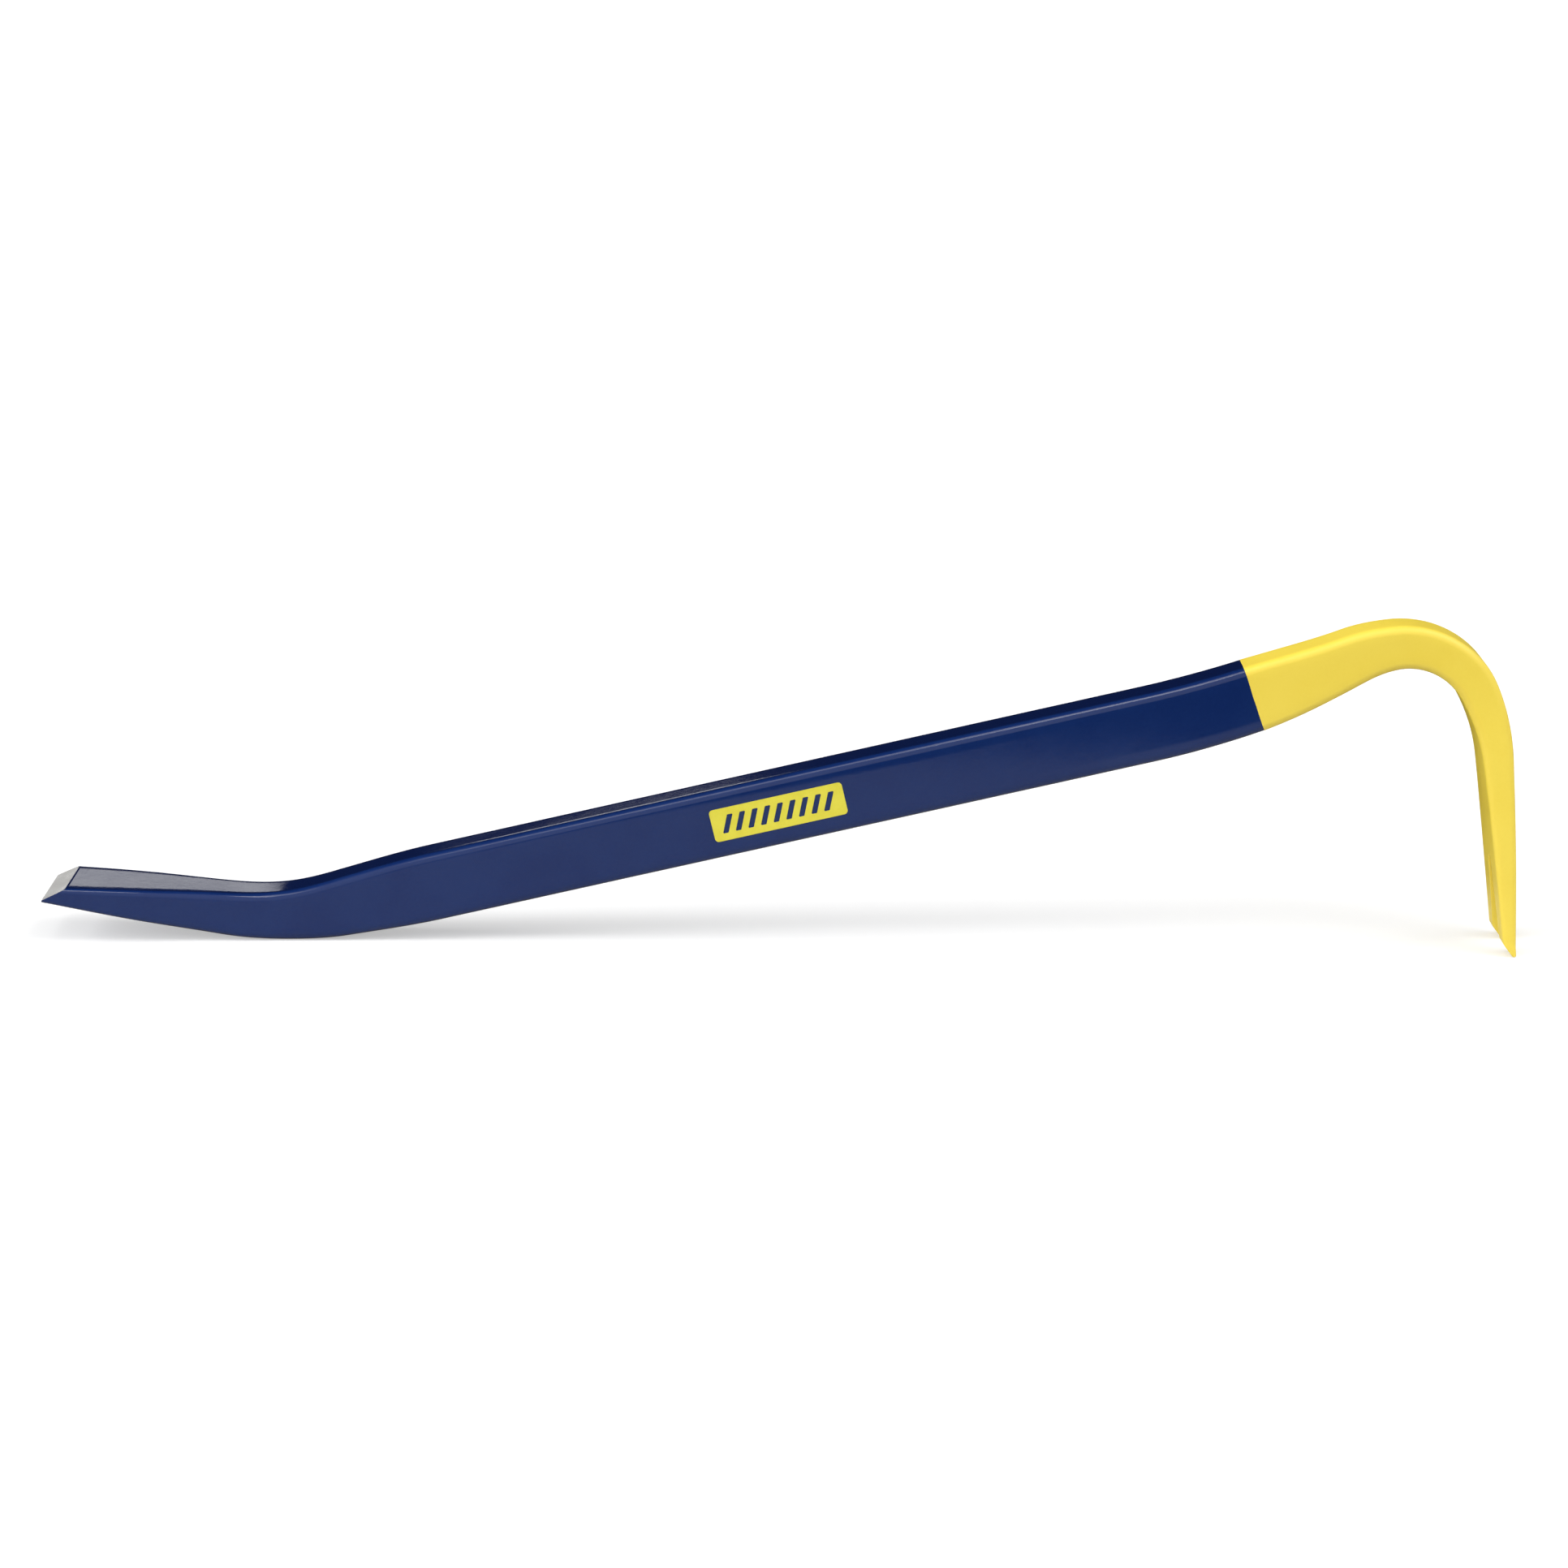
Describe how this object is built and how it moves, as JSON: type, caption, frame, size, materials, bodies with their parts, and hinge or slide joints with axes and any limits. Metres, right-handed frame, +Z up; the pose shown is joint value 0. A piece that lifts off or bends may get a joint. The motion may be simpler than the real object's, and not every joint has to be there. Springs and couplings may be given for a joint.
{
  "type": "pry bar",
  "caption": "Gooseneck wrecking bar with a flat chisel end, a curved heel to rock on and a hooked claw with a nail slot, under dark blue and yellow enamel.",
  "frame": {"origin": "on the surface that the bar stands on, under the middle of the bar's outline", "axes": "+X along the bar towards the hook, +Y towards the plain side and away from the label, +Z up from the surface"},
  "size_m": [0.4572, 0.027, 0.1036],
  "materials": {
    "bare_steel": "ground bright at the chisel's bevel, forged black under the enamel",
    "blue_enamel": "gloss dark blue enamel over the chisel, heel and shank",
    "yellow_enamel": "gloss yellow enamel over the hook and claw",
    "label_film": "thin yellow film with slanted windows"
  },
  "bodies": {
    "root": {"steel_bar": "bare_steel", "blue_enamel": "blue_enamel", "yellow_enamel": "yellow_enamel", "label_panel": "label_film"}
  },
  "joints": []
}
